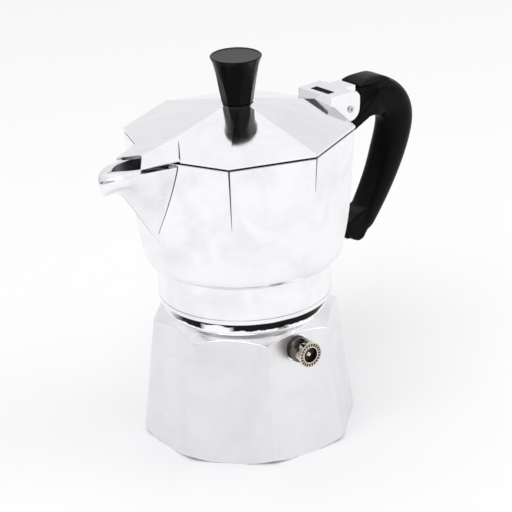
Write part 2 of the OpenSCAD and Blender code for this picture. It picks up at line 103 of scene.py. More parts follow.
# ---------------------------------------------------------------- mesh tools
def new_object(name, verts, faces, material=None):
    """Mesh object from points in millimetres, with doubles merged and normals outward."""
    mesh = bpy.data.meshes.new(name)
    mesh.from_pydata([Vector(v) * MM for v in verts], [], faces)
    bm = bmesh.new()
    bm.from_mesh(mesh)
    bmesh.ops.remove_doubles(bm, verts=bm.verts, dist=1e-7)
    bmesh.ops.dissolve_degenerate(bm, edges=bm.edges, dist=1e-8)
    bmesh.ops.recalc_face_normals(bm, faces=bm.faces)
    bm.to_mesh(mesh)
    bm.free()
    obj = bpy.data.objects.new(name, mesh)
    bpy.context.scene.collection.objects.link(obj)
    if material:
        mesh.materials.append(material)
    return obj


def grid_faces(columns, rows, close_columns, close_rows):
    """Quads of a grid of points that is stored column by column."""
    faces = []
    for j in range(columns if close_columns else columns - 1):
        k = (j + 1) % columns
        for i in range(rows if close_rows else rows - 1):
            n = (i + 1) % rows
            faces.append((j * rows + i, k * rows + i, k * rows + n, j * rows + n))
    return faces


def loft(rings, capped=True):
    """Points and faces through a row of closed loops with equal counts."""
    count = len(rings[0])
    verts = [p for ring in rings for p in ring]
    faces = grid_faces(len(rings), count, False, True)
    if capped:
        faces.append(tuple(range(count)))
        faces.append(tuple((len(rings) - 1) * count + i for i in range(count)))
    return verts, faces


def rounded(points, steps=4):
    """Open outline of (x, y, radius) points, with an arc of that radius in place of each corner."""
    out = []
    for i, (x, y, radius) in enumerate(points):
        p = np.array((x, y))
        if radius <= 0 or i in (0, len(points) - 1):
            out.extend([p] if radius <= 0 or steps == 0 else [p] * (steps + 1))
            continue
        before = np.array(points[i - 1][:2]) - p
        after = np.array(points[i + 1][:2]) - p
        len_a, len_b = np.linalg.norm(before), np.linalg.norm(after)
        if len_a < 1e-6 or len_b < 1e-6:
            out.extend([p] * (steps + 1))
            continue
        before, after = before / len_a, after / len_b
        half = math.acos(max(-1.0, min(1.0, float(before @ after)))) / 2
        reach = min(radius / max(math.tan(half), 1e-3), 0.45 * len_a, 0.45 * len_b)
        start, end = p + before * reach, p + after * reach
        for k in range(steps + 1):
            t = k / steps
            out.append(start * (1 - t) ** 2 + 2 * p * t * (1 - t) + end * t * t)
    return [tuple(q) for q in out]


def lathe(profile, count=96):
    """Points and faces of a profile of (radius, height) turned about Z. It may start and end on the axis."""
    verts = []
    for j in range(count):
        a = 2 * math.pi * j / count
        verts.extend((r * math.cos(a), r * math.sin(a), z) for r, z in profile)
    closed = profile[0][0] > 1e-6
    return verts, grid_faces(count, len(profile), True, closed)


def joined(*parts):
    """Several (points, faces) as one."""
    verts, faces = [], []
    for part_verts, part_faces in parts:
        start = len(verts)
        verts.extend(part_verts)
        faces.extend(tuple(start + i for i in face) for face in part_faces)
    return verts, faces


def moved(part, matrix):
    verts, faces = part
    return [tuple(matrix @ Vector(v)) for v in verts], faces


def baked(obj):
    """Replaces the mesh with what its modifiers make of it."""
    depsgraph = bpy.context.evaluated_depsgraph_get()
    mesh = bpy.data.meshes.new_from_object(obj.evaluated_get(depsgraph))
    obj.modifiers.clear()
    obj.data = mesh
    return obj


def boolean(obj, other, operation):
    mod = obj.modifiers.new("boolean", "BOOLEAN")
    mod.operation = operation
    mod.object = other
    mod.solver = "EXACT"
    mod.material_mode = "TRANSFER"
    baked(obj)
    bpy.data.objects.remove(other)
    return obj


def cylinder(name, radius, start, end, matrix=None, count=64, material=None):
    """Helper solid for cutting: a cylinder along Z between two heights, placed by a matrix."""
    part = lathe([(0, start), (radius, start), (radius, end), (0, end)], count)
    if matrix:
        part = moved(part, matrix)
    return new_object(name, *part, material)


def extruded(name, outline, y_low, y_high, material=None):
    """Solid from an outline of (x, z) points between two distances along Y."""
    low = [(x, y_low, z) for x, z in outline]
    high = [(x, y_high, z) for x, z in outline]
    return new_object(name, *loft([low, high]), material)


def shade(obj, sharp_angle=32, weighted=True):
    obj.data.shade_smooth()
    obj.data.set_sharp_from_angle(angle=math.radians(sharp_angle))
    if weighted:
        mod = obj.modifiers.new("normals", "WEIGHTED_NORMAL")
        mod.keep_sharp = True
        mod.weight = 60
    return obj


def bevel(obj, width, segments=3, angle=14):
    mod = obj.modifiers.new("bevel", "BEVEL")
    mod.width = width * MM
    mod.segments = segments
    mod.limit_method = "ANGLE"
    mod.angle_limit = math.radians(angle)
    mod.use_clamp_overlap = True
    mod.miter_outer = "MITER_ARC"
    return baked(obj)


def remeshed(obj, voxel, smoothing):
    """Even skin over a union of solids, with its joins softened."""
    mod = obj.modifiers.new("remesh", "REMESH")
    mod.mode = "VOXEL"
    mod.voxel_size = voxel * MM
    mod = obj.modifiers.new("smooth", "SMOOTH")
    mod.factor = 0.5
    mod.iterations = smoothing
    return baked(obj)


def tube(name, points, radii, material, count=8):
    """Round solid along a row of points, with a radius at each."""
    rings = []
    for i, point in enumerate(points):
        before, after = points[max(i - 1, 0)], points[min(i + 1, len(points) - 1)]
        along = (Vector(after) - Vector(before)).normalized()
        side = along.cross(Vector((0.31, 0.52, 0.79))).normalized()
        other = along.cross(side)
        ring = []
        for k in range(count):
            a = 2 * math.pi * k / count
            ring.append(tuple(Vector(point) + (side * math.cos(a) + other * math.sin(a)) * radii[i]))
        rings.append(ring)
    return new_object(name, *loft(rings), material)


def copy_of_node(name, node):
    """A new piece that starts from a CAD node's mesh, with its flat faces made whole."""
    mesh = nodes[node].data.copy()
    mesh.materials.clear()
    bm = bmesh.new()
    bm.from_mesh(mesh)
    bmesh.ops.remove_doubles(bm, verts=bm.verts, dist=2e-6)
    bmesh.ops.dissolve_degenerate(bm, edges=bm.edges, dist=2e-6)
    bmesh.ops.dissolve_limit(
        bm, angle_limit=math.radians(0.6), verts=bm.verts, edges=bm.edges
    )
    bm.to_mesh(mesh)
    bm.free()
    obj = bpy.data.objects.new(name, mesh)
    bpy.context.scene.collection.objects.link(obj)
    return obj


def place(obj, body, slot, *replaced):
    """Makes a finished piece ride with a body and stand for CAD nodes, which it hides; the slot is not used."""
    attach(obj, body)
    if replaced:
        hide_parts(*replaced)
    return obj


# ---------------------------------------------------------------- materials
class Nodes:
    """Small helper for building a node tree."""

    def __init__(self, name):
        self.material = bpy.data.materials.new(name)
        self.material.use_nodes = True
        self.tree = self.material.node_tree
        self.shader = self.tree.nodes["Principled BSDF"]
        self.coords = self.add("ShaderNodeTexCoord").outputs["Object"]

    def add(self, kind, **settings):
        node = self.tree.nodes.new(kind)
        for key, value in settings.items():
            setattr(node, key, value)
        return node

    def link(self, a, b):
        self.tree.links.new(a, b)

    def scaled(self, scale):
        node = self.add("ShaderNodeMapping")
        node.inputs["Scale"].default_value = scale
        self.link(self.coords, node.inputs["Vector"])
        return node.outputs["Vector"]

    def noise(self, scale, size, detail=4.0, roughness=0.6, distortion=0.0):
        node = self.add("ShaderNodeTexNoise")
        self.link(self.scaled(size), node.inputs["Vector"])
        node.inputs["Scale"].default_value = scale
        node.inputs["Detail"].default_value = detail
        node.inputs["Roughness"].default_value = roughness
        node.inputs["Distortion"].default_value = distortion
        return node.outputs["Fac"]

    def ranged(self, value, from_low, from_high, to_low, to_high):
        node = self.add("ShaderNodeMapRange")
        self.link(value, node.inputs["Value"])
        node.inputs["From Min"].default_value = from_low
        node.inputs["From Max"].default_value = from_high
        node.inputs["To Min"].default_value = to_low
        node.inputs["To Max"].default_value = to_high
        return node.outputs["Result"]

    def math(self, operation, a, b):
        node = self.add("ShaderNodeMath", operation=operation)
        for socket, value in zip(node.inputs, (a, b)):
            if isinstance(value, (int, float)):
                socket.default_value = value
            else:
                self.link(value, socket)
        return node.outputs[0]

    def colour(self, factor, dark, light):
        node = self.add("ShaderNodeMix", data_type="RGBA")
        self.link(factor, node.inputs["Factor"])
        node.inputs["A"].default_value = (*dark, 1)
        node.inputs["B"].default_value = (*light, 1)
        return node.outputs["Result"]

    def blend(self, factor, colour, other):
        """Mixes an existing colour output with a fixed colour."""
        node = self.add("ShaderNodeMix", data_type="RGBA")
        self.link(factor, node.inputs["Factor"])
        self.link(colour, node.inputs["A"])
        node.inputs["B"].default_value = (*other, 1)
        return node.outputs["Result"]

    def bump(self, height, strength, distance):
        node = self.add("ShaderNodeBump")
        node.inputs["Strength"].default_value = strength
        node.inputs["Distance"].default_value = distance
        self.link(height, node.inputs["Height"])
        self.link(node.outputs["Normal"], self.shader.inputs["Normal"])


def metal(name, light, dark, rough, grain, grain_scale, bump=0.25, smudge=(0.42, 0.66)):
    """Metal with directional grain, cloudy smudges and a roughness that follows them."""
    n = Nodes(name)
    n.shader.inputs["Metallic"].default_value = 1.0
    lines = n.noise(grain_scale, grain, detail=6, roughness=0.7)
    clouds = n.noise(55, (1, 1, 1), detail=5, roughness=0.62, distortion=0.6)
    mix = n.ranged(clouds, smudge[0], smudge[1], 0, 1)
    colour = n.colour(mix, light, dark)
    n.link(colour, n.shader.inputs["Base Color"])
    cloudy = n.ranged(clouds, 0.3, 0.7, rough[0], rough[1])
    wear = n.math("ADD", cloudy, n.ranged(lines, 0.3, 0.7, -0.03, 0.03))
    n.link(wear, n.shader.inputs["Roughness"])
    n.bump(lines, bump, 0.00004)
    return n.material


polished = metal(
    "polished_aluminium", (0.93, 0.93, 0.94), (0.84, 0.84, 0.86), (0.16, 0.26), (1, 1, 0.12), 900, 0.12
)
lid_metal = metal("mirror_aluminium", (0.93, 0.93, 0.94), (0.88, 0.88, 0.9), (0.06, 0.11), (1, 1, 1), 500, 0.05)
satin = metal("satin_aluminium", (0.86, 0.86, 0.875), (0.82, 0.82, 0.84), (0.3, 0.38), (1, 1, 0.3), 1200, 0.1)
turned = metal(
    "turned_aluminium", (0.92, 0.92, 0.93), (0.85, 0.85, 0.87), (0.07, 0.12), (0.02, 0.02, 1), 2500, 0.3
)
# Cast finish for the lugs and insides; inside the pots its dark tone is partly painted shade
cast_and_painted_shade = metal("cast_aluminium_painted_shade", (0.6, 0.6, 0.62), (0.42, 0.42, 0.44), (0.38, 0.5), (1, 1, 1), 1600, 0.5)
pressed = metal(
    "pressed_aluminium", (0.78, 0.78, 0.8), (0.68, 0.68, 0.7), (0.26, 0.36), (0.1, 0.1, 1), 1500, 0.2
)
brass = metal("dark_brass", (0.14, 0.125, 0.11), (0.05, 0.045, 0.04), (0.18, 0.3), (1, 1, 1), 1800, 0.3)
nickel = metal("nickel", (0.74, 0.68, 0.58), (0.4, 0.36, 0.3), (0.1, 0.2), (1, 1, 1), 1500, 0.12)
darker_nickel = metal("darker_nickel", (0.1, 0.09, 0.08), (0.04, 0.037, 0.03), (0.3, 0.4), (1, 1, 1), 1500, 0.2)
steel = metal("steel", (0.72, 0.72, 0.73), (0.6, 0.6, 0.61), (0.15, 0.24), (1, 1, 1), 1500, 0.15)


def plastic(name, base, lighter, rough, bump, gloss=0.5, dust_and_sheen=0.0):
    """Plastic with a fine grain. Dust and a painted sheen lighten the faces that look up."""
    n = Nodes(name)
    fine = n.noise(2600, (1, 1, 1), detail=3)
    broad = n.noise(70, (1, 1, 1), detail=4)
    colour = n.colour(n.ranged(broad, 0.35, 0.7, 0, 1), base, lighter)
    if dust_and_sheen:
        parts = n.add("ShaderNodeSeparateXYZ")
        n.link(n.add("ShaderNodeTexCoord").outputs["Normal"], parts.inputs[0])
        # Upward faces lightened: partly dust, partly a painted highlight from overhead
        upward = n.ranged(parts.outputs["Z"], 0.35, 1, 0, 1)
        dust_and_sheen_mask = n.math("MULTIPLY", upward, n.ranged(broad, 0.2, 0.8, 0.7, 1))
        colour = n.blend(dust_and_sheen_mask, colour, (dust_and_sheen, dust_and_sheen, dust_and_sheen * 1.04))
    n.link(colour, n.shader.inputs["Base Color"])
    n.link(n.ranged(broad, 0.3, 0.7, rough[0], rough[1]), n.shader.inputs["Roughness"])
    n.shader.inputs["Specular IOR Level"].default_value = gloss
    n.bump(fine, bump, 0.00003)
    return n.material


black = plastic("black_plastic", (0.002, 0.002, 0.0022), (0.004, 0.004, 0.0042), (0.3, 0.33), 0.2, 0.055, 0.014)
knob_black = plastic(
    "knob_plastic", (0.002, 0.002, 0.0022), (0.003, 0.003, 0.0032), (0.22, 0.25), 0.1, 0.12, 0.014
)
silicone = plastic("silicone", (0.72, 0.72, 0.7), (0.8, 0.8, 0.78), (0.5, 0.6), 0.2)
fibre = plastic("fibre_washer", (0.02, 0.02, 0.02), (0.04, 0.04, 0.04), (0.6, 0.75), 0.4)
# Dark plastic used only as painted shade in grooves, slots, under the beak and on the lid's underside
crease_shade_paint = plastic("painted_crease_shade", (0.05, 0.05, 0.055), (0.1, 0.1, 0.105), (0.5, 0.7), 0.3)


# Heights and angle of the neck's painted highlight streak, and the side where its painted shade is full
PAINTED_STREAK_TOP_Z = (57.6, 57.9)
PAINTED_STREAK_ANGLE = -151
PAINTED_SHADE_ANGLE = -120


def painted_band_metal(name, low_z, high_z):
    """Turned metal with painted light: bright below one height and dark above another as painted shade from the
    collar, with a painted highlight streak on one side.
    """
    n = Nodes(name)
    n.shader.inputs["Metallic"].default_value = 1.0
    parts = n.add("ShaderNodeSeparateXYZ")
    n.link(n.coords, parts.inputs[0])
    waves = n.ranged(n.noise(120, (1, 1, 2), detail=3), 0.3, 0.7, -0.0007, 0.0007)
    height = n.math("ADD", parts.outputs["Z"], waves)
    lines = n.noise(2500, (0.02, 0.02, 1), detail=6)
    around = n.add("ShaderNodeVectorMath", operation="NORMALIZE")
    flat = n.add("ShaderNodeCombineXYZ")
    n.link(parts.outputs["X"], flat.inputs["X"])
    n.link(parts.outputs["Y"], flat.inputs["Y"])
    n.link(flat.outputs[0], around.inputs[0])

    def facing(angle, low, high):
        """1 on the side that looks in a direction and 0 away from it."""
        dot = n.add("ShaderNodeVectorMath", operation="DOT_PRODUCT")
        n.link(around.outputs[0], dot.inputs[0])
        dot.inputs[1].default_value = (math.cos(math.radians(angle)), math.sin(math.radians(angle)), 0)
        return n.ranged(dot.outputs["Value"], low, high, 0, 1)

    # Painted shade above a height, broken by the painted highlight streak and fading away from one side
    dark = n.ranged(height, low_z * MM, high_z * MM, 0, 1)
    below_lip = n.ranged(height, PAINTED_STREAK_TOP_Z[0] * MM, PAINTED_STREAK_TOP_Z[1] * MM, 1, 0)
    painted_streak = n.math("MULTIPLY", facing(PAINTED_STREAK_ANGLE, 0.975, 0.99), below_lip)
    dark = n.math("MULTIPLY", dark, n.math("SUBTRACT", 1.0, painted_streak))
    dark = n.math("MULTIPLY", dark, facing(PAINTED_SHADE_ANGLE, 0.15, 0.5))
    colour = n.colour(dark, (0.95, 0.95, 0.96), (0.012, 0.012, 0.013))
    n.link(colour, n.shader.inputs["Base Color"])
    n.link(n.ranged(lines, 0.3, 0.7, 0.08, 0.16), n.shader.inputs["Roughness"])
    n.bump(lines, 0.3, 0.00004)
    return n.material


# Neck finish with painted shade under the collar and a painted highlight streak
neck_shade_paint = painted_band_metal("painted_neck_shade", 55.6, 55.9)


# ---------------------------------------------------------------- octagons with soft corners
# Angles from a corner, closer together where the corner is rounded
CORNER_STEPS = (0, 0.16, 0.32, 0.48, 0.8, 1.5, 2.6, 4.2, 6.2, 8.5, 11, 13.5, 16, 18.2, 20.4)


def octagon_angles(turn):
    """Angles of all columns round an octagon, each with its distance from the nearest corner."""
    angles = []
    for k in range(8):
        corner = turn + 45 * k
        angles.extend((corner + a, a) for a in CORNER_STEPS)
        angles.append((corner + 22.5, 22.5))
        angles.extend((corner + 45 - a, a) for a in reversed(CORNER_STEPS[1:]))
    return angles


def octagon_radius(from_corner, flat, corner_round):
    """Distance from the centre to an octagon with flats at one distance and rounded corners."""
    centre = (flat - corner_round) / OCTAGON_FLAT
    away = math.radians(from_corner)
    tangent = math.radians(22.5) - math.atan(centre * math.sin(math.radians(22.5)) / flat)
    if away >= tangent:
        return flat / math.cos(math.radians(22.5) - away)
    inside = corner_round**2 - (centre * math.sin(away)) ** 2
    return centre * math.cos(away) + math.sqrt(max(inside, 0.0))


def column_surface(outline_at, turn):
    """Points and faces through one closed outline of (r, z) for each angle round an octagon."""
    angles = octagon_angles(turn)
    verts = []
    for angle, from_corner in angles:
        a = math.radians(angle)
        outline = outline_at(from_corner)
        verts.extend((r * math.cos(a), r * math.sin(a), z) for r, z in outline)
    rows = len(verts) // len(angles)
    return verts, grid_faces(len(angles), rows, True, True)


def thread(root_r, crest_r, first_z, turns):
    """Helical ridge that fades in and out at its ends."""
    steps, fade = 64, 8
    count = round(turns * steps)
    root_w, crest_w = 0.85, 0.45
    side = 1 if crest_r > root_r else -1
    rings = []
    for i in range(count + 1):
        a = 2 * math.pi * i / steps
        z = first_z + THREAD_PITCH * i / steps
        share = min(1, (i + 0.2) / fade, (count - i + 0.2) / fade)
        crest = root_r + (crest_r - root_r) * share
        shape = ((root_r, -root_w), (crest - 0.15 * side, -crest_w - 0.05), (crest, -crest_w + 0.1),
                 (crest, crest_w - 0.1), (crest - 0.15 * side, crest_w + 0.05), (root_r, root_w))
        rings.append([(r * math.cos(a), r * math.sin(a), z + dz) for r, dz in shape])
    return loft(rings)


# ---------------------------------------------------------------- boiler
BOILER_WALL = 3.3
# Lowest height of the neck's painted shade band
NECK_PAINTED_SHADE_LOW_Z = 53.9
# Shares of a facet's height with a row of points, close together above the base's edge
FACET_SHARES = (0.01, 0.03, 0.1, 0.3, 0.5, 0.7, 0.9)


def boiler_outline(from_corner):
    base_circle_r, chamfer = 42.8, 3.7 / 2.8
    k = octagon_radius(from_corner, BOILER_BASE_R * OCTAGON_FLAT, 0.9) / BOILER_BASE_R
    low_z = max(0.0, (k * BOILER_BASE_R - base_circle_r) / (chamfer + k * BOILER_TAPER))
    top_of_cone = BOILER_SHOULDER_R + SHOULDER_SLOPE * BOILER_SHOULDER_Z
    high_z = (top_of_cone - k * BOILER_BASE_R) / (SHOULDER_SLOPE - k * BOILER_TAPER)
    neck_low_z = (top_of_cone - NECK_STEP_R) / SHOULDER_SLOPE

    def facet_r(z):
        return k * (BOILER_BASE_R - BOILER_TAPER * z)

    heights = [low_z + (high_z - low_z) * share for share in FACET_SHARES]
    wall = [(facet_r(z), z, 0) for z in heights]
    inside_low = (BOILER_BASE_R - 10 * BOILER_TAPER) * OCTAGON_FLAT - BOILER_WALL
    inside_high = (BOILER_BASE_R - 49 * BOILER_TAPER) * OCTAGON_FLAT - BOILER_WALL
    points = [(0.02, 0, 0), (26, 0, 0), (26.6, 0.5, 0.2), (40, 0.5, 0.2), (40.6, 0, 0.2)]
    points += [(min(base_circle_r, facet_r(0)), 0, 0.5), (facet_r(low_z), low_z, 0.5)]
    points += wall
    points += [(facet_r(high_z), high_z, 0.45), (NECK_STEP_R, neck_low_z, 0.8)]
    points += [(NECK_STEP_R, NECK_STEP_Z, 0.3), (NECK_R, NECK_STEP_Z, 0.2), (NECK_R, MOUTH_Z, 0.4)]
    points += [(MOUTH_R, MOUTH_Z, 0.3), (MOUTH_R, 53.5, 1), (inside_high, 49.5, 1.5), (inside_low, 10, 2)]
    points += [(inside_low, 5.5, 1.5), (inside_low - 2, 3.5, 1.5), (0.02, 3.5, 0)]
    return rounded(points)


def valve_matrix():
    """Puts what is drawn along Z at the valve, pointing out of the boiler."""
    turn = Matrix.Rotation(math.radians(VALVE_TURN), 4, "Z")
    shift = Matrix.Translation((VALVE_FACE_X, 0, VALVE_Z))
    return turn @ shift @ Matrix.Rotation(math.radians(90), 4, "Y")


def build_boiler():
    shell = column_surface(boiler_outline, 22.5 + BOILER_TURN)
    boiler = new_object("boiler_casting", *shell, satin)
    boiler.data.materials.append(turned)
    boiler.data.materials.append(cast_and_painted_shade)
    boiler.data.materials.append(neck_shade_paint)
    for face in boiler.data.polygons:
        c, normal = face.center / MM, face.normal
        r = math.hypot(c.x, c.y)
        outward = (c.x * normal.x + c.y * normal.y) / max(r, 1e-6)
        cone_z = (BOILER_SHOULDER_R + SHOULDER_SLOPE * BOILER_SHOULDER_Z - r) / SHOULDER_SLOPE
        # Insides and inner floor: cast finish, darkened as painted shade
        if outward < -0.2 or (c.z < 6 and normal.z > 0.5):
            face.material_index = 2
        # Neck under the collar: painted shade and a painted highlight streak
        elif NECK_PAINTED_SHADE_LOW_Z < c.z < NECK_STEP_Z + 0.1 and r < NECK_STEP_R + 0.7:
            face.material_index = 3
        elif c.z > cone_z - 0.25 or c.z > 57:
            face.material_index = 1
        elif normal.z < -0.5:
            face.material_index = 1
    spot = cylinder("spot_face", VALVE_RING_R + 0.4, 0, 10, valve_matrix(), 96, turned)
    boolean(boiler, spot, "DIFFERENCE")
    ridge = thread(NECK_R - 0.3, NECK_R + THREAD_DEPTH, THREAD_FIRST_Z, THREAD_TURNS - 0.3)
    ridge = new_object("boiler_thread", *ridge, turned)
    shade(ridge, 25)
    place(ridge, "boiler", "satin_aluminium")
    shade(boiler, 28)
    place(boiler, "boiler", "satin_aluminium", "boiler")


build_boiler()


# ---------------------------------------------------------------- safety valve
VALVE_RIBS = 22


def build_valve():
    """Hexagonal body, and a ring whose face has fine ribs round a dark well."""
    body = copy_of_node("valve_hexagon", "valve_body")
    body.data.materials.append(brass)
    bevel(body, 0.18, 2, 25)
    shade(body, 35)
    place(body, "boiler", "brass", "valve_body")

    low, face, lip, top = 6.0, 8.8, 9.3, 9.2
    profile = [(1.2, 5.02, 0), (2.95, 5.02, 0.1), (2.95, low, 0)]
    profile += [(VALVE_RING_R, low, 0.2), (VALVE_RING_R, top, 0.3)]
    profile += [(4.95, top, 0.1), (4.9, face, 0.05), (3.75, face, 0.05), (3.6, lip, 0.15), (3.2, lip, 0.15)]
    profile += [(3.05, 6.6, 0.2), (1.2, 6.6, 0.1)]
    verts, faces = lathe(rounded(profile, 3))
    shaped = []
    for x, y, u in verts:
        from_flat = (math.degrees(math.atan2(y, x)) + 30) % 60 - 30
        hexagon = VALVE_RING_R * math.cos(math.radians(30)) / math.cos(math.radians(from_flat))
        k = min(1.0, (hexagon + max(0.0, u - 8.4) * 0.9) / math.hypot(x, y))
        shaped.append((x * k, y * k, u) if math.hypot(x, y) > 5.05 else (x, y, u))
    parts = [(shaped, faces)]
    rib = ((-1, face - 0.1), (1, face - 0.1), (0.6, lip - 0.08), (-0.6, lip - 0.08))
    for k in range(VALVE_RIBS):
        a, half_t = 2 * math.pi * k / VALVE_RIBS, 0.26
        corners = [(r, side * half_t, u) for r in (3.72, 4.93) for side, u in rib]
        spun = [
            (x * math.cos(a) - y * math.sin(a), x * math.sin(a) + y * math.cos(a), u) for x, y, u in corners
        ]
        parts.append(loft([spun[:4], spun[4:]]))
    ring = new_object("valve_ring", *moved(joined(*parts), valve_matrix()), nickel)
    ring.data.materials.append(darker_nickel)
    outward = (valve_matrix().to_3x3() @ Vector((0, 0, 1))).normalized()
    # Darker nickel on the face between the ribs and in the well
    for polygon in ring.data.polygons:
        from_seat = polygon.center / MM - valve_matrix().translation
        along = from_seat.dot(outward)
        on_face = abs(along - face) < 0.02
        small = polygon.area < 0.6 * MM**2 and polygon.normal.dot(outward) > -0.2
        in_well = along < 8.6 and small and (from_seat - outward * along).length < 3.4
        if on_face or in_well:
            polygon.material_index = 1
    shade(ring, 30)
    place(ring, "boiler", "nickel", "valve_face_ring")


build_valve()


# ---------------------------------------------------------------- collector
def collector_flat(z):
    """Distance of the flats from the axis: they lean out towards the rim."""
    share = max(0.0, (z - BULGE_Z) / (RIM_Z - BULGE_Z))
    return BULGE_R + (RIM_R * OCTAGON_FLAT - BULGE_R) * share**2.4


def collector_corner(z):
    """Corner rounding: crisp at the rim, and the whole radius at the bulge."""
    share = min(1.0, max(0.0, (z - BULGE_Z) / (RIM_Z - BULGE_Z)))
    return 0.35 + (BULGE_R - 0.35) * (1 - share) ** 4


def collector_outline(from_corner):
    seat_z, floor_z, boss_r, boss_z, bore_r = 73.4, 79.0, 8.0, 87.5, 32.9
    rise = BULGE_Z - COLLAR_TOP_Z
    heights = [BULGE_Z + (RIM_Z - BULGE_Z) * i / 26 for i in range(1, 26)]

    def outer(z):
        return octagon_radius(from_corner, collector_flat(z), collector_corner(z))

    def inner(z):
        flat = collector_flat(z) - COLLECTOR_WALL
        return octagon_radius(from_corner, flat, min(flat - 0.01, collector_corner(z) + 1.5))

    points = [(bore_r, COLLAR_Z, 0.4), (COLLAR_R, COLLAR_Z, 0.5)]
    points += [(COLLAR_R, COLLAR_Z + 1.9, 0), (COLLAR_R - 0.12, COLLAR_Z + 2.1, 0)]
    points += [(COLLAR_R, COLLAR_Z + 2.3, 0)]
    points += [(COLLAR_R, COLLAR_TOP_Z - 0.55, 0), (COLLAR_R - 0.3, COLLAR_TOP_Z - 0.35, 0)]
    points += [(COLLAR_R, COLLAR_TOP_Z - 0.15, 0)]
    for i in range(0, 15):
        a = math.radians(6 * i)
        points.append((COLLAR_R + (BULGE_R - COLLAR_R) * math.sin(a), BULGE_Z - rise * math.cos(a), 0))
    points += [(outer(z), z, 0) for z in heights]
    points += [(outer(RIM_Z), RIM_Z, 0.55), (inner(RIM_Z), RIM_Z, 0.35)]
    points += [(inner(z), z, 0) for z in reversed(heights[1::2])]
    points += [(BULGE_R - COLLECTOR_WALL, BULGE_Z + 1, 2), (36.8, floor_z + 1.2, 2), (33, floor_z, 2)]
    points += [(boss_r + 0.5, 84, 1), (boss_r, 84.6, 0.5), (boss_r, boss_z, 0.6), (5.65, boss_z, 0.3)]
    points += [(5.65, 82, 0), (4, 82, 0), (4, 81, 0), (25, seat_z + 0.8, 0), (28.5, seat_z + 0.8, 0)]
    points += [(28.5, seat_z, 0), (bore_r, seat_z, 0), (bore_r, COLLAR_Z + 5, 0)]
    return rounded(points)


# Stations along the spout: distance from the axis, half width, height of the rim, height of the keel
SPOUT_STATIONS = (
    (36, 14.2, 128.9, 83.4), (41.4, 12.6, 128.7, 90.9), (47, 11.2, 128.8, 98.3), (52.5, 9.9, 128.9, 106.9),
    (57.5, 8.9, 128.9, 114.6), (61, 8.3, 128.8, 119.0), (63.5, 7.4, 128.7, 120.3), (66, 5.9, 128.5, 120.5),
    (68, 4.4, 128.0, 120.6), (69.4, 3.0, 127.2, 121.2), (70.3, 1.8, 126.2, 122.3), (70.8, 0.7, 125.2, 123.6),
)


SPOUT_START = SPOUT_STATIONS[0][0]
SPOUT_WALL = 2.1
CHANNEL_REACH_SHARE = 0.88
ROUND_FROM = 44
ROUND_OVER = 18


def hinge_axis():
    """Turns Z to run along the lid's hinge."""
    return Matrix.Translation((HINGE_X, 0, HINGE_Z)) @ Matrix.Rotation(math.radians(90), 4, "X")


def spline(stations, t):
    """Catmull-Rom curve through the stations, for t from 0 to 1."""
    p = np.array(stations, float)
    x = t * (len(p) - 1)
    i = min(int(x), len(p) - 2)
    u = x - i
    a = p[max(i - 1, 0)]
    b, c = p[i], p[i + 1]
    d = p[min(i + 2, len(p) - 1)]
    return 0.5 * (2 * b + (c - a) * u + (2 * a - 5 * b + 4 * c - d) * u * u + (3 * b - a - 3 * c + d) * u**3)


def spout_roundness(reach):
    """0 where the section is a plain V, near the body, and 1 where it is round, at the lip."""
    return min(1.0, max(0.0, (reach - ROUND_FROM) / ROUND_OVER))


def spout_side(half_w, t, roundness):
    """Half width of a section at a share t of the way from its rim to its keel."""
    swell = 1.2 * roundness * math.sin(math.pi * t) * half_w / 14
    return half_w * (1 - t ** (1.05 + 0.85 * roundness)) + swell


def spout_section(reach, half_w, top_z, keel_z, roundness):
    """Loop of one section: sides that come together in a keel, and a top that is flat or slightly crowned."""
    count = 16
    side = []
    for i in range(count + 1):
        t = i / count
        side.append((spout_side(half_w, t, roundness), top_z + (keel_z - top_z) * t))
    crown = [(half_w * k, top_z + rise * roundness) for k, rise in ((0.86, 0.75), (0.6, 1.15), (0.3, 1.25))]
    loop = [(-reach, y, z) for y, z in side]
    loop += [(-reach, -y, z) for y, z in reversed(side[:-1])]
    loop += [(-reach, -y, z) for y, z in crown] + [(-reach, y, z) for y, z in reversed(crown)]
    return loop


def spout_solid(name, wall, floor_rise, raised, material):
    """The spout's outside, or with a wall the channel inside it, which is open at the top."""
    rings = []
    steps = 44
    for i in range(steps + 1):
        reach, half_w, top_z, keel_z = spline(SPOUT_STATIONS, i / steps)
        if wall:
            reach = min(reach, SPOUT_START + (reach - SPOUT_START) * CHANNEL_REACH_SHARE)
            half_w = max(half_w - wall - 1.3 * spout_roundness(reach), 0.25)
            keel_z = min(keel_z + floor_rise, top_z - 0.2)
            top_z = RIM_Z + raised
        rings.append(spout_section(reach, half_w, top_z, keel_z, spout_roundness(reach)))
    return new_object(name, *loft(rings), material)


def spout_half_width(reach, z):
    """Half width of the spout's outside at a distance from the axis and a height."""
    low, high = 0.0, 1.0
    for _ in range(30):
        middle = (low + high) / 2
        if spline(SPOUT_STATIONS, middle)[0] < reach:
            low = middle
        else:
            high = middle
    _, half_w, top_z, keel_z = spline(SPOUT_STATIONS, low)
    t = (z - top_z) / (keel_z - top_z)
    if t > 1:
        return 0.0
    return spout_side(half_w, max(t, 0.0), spout_roundness(reach))


def body_radius(angle, z):
    """Radius of the collector's outside in a direction."""
    from_corner = abs((angle + 22.5) % 45 - 22.5)
    return octagon_radius(from_corner, collector_flat(z), collector_corner(z))


SPOUT_LINE_LOW_Z = 98
SPOUT_LINE_HEIGHT = 31.2


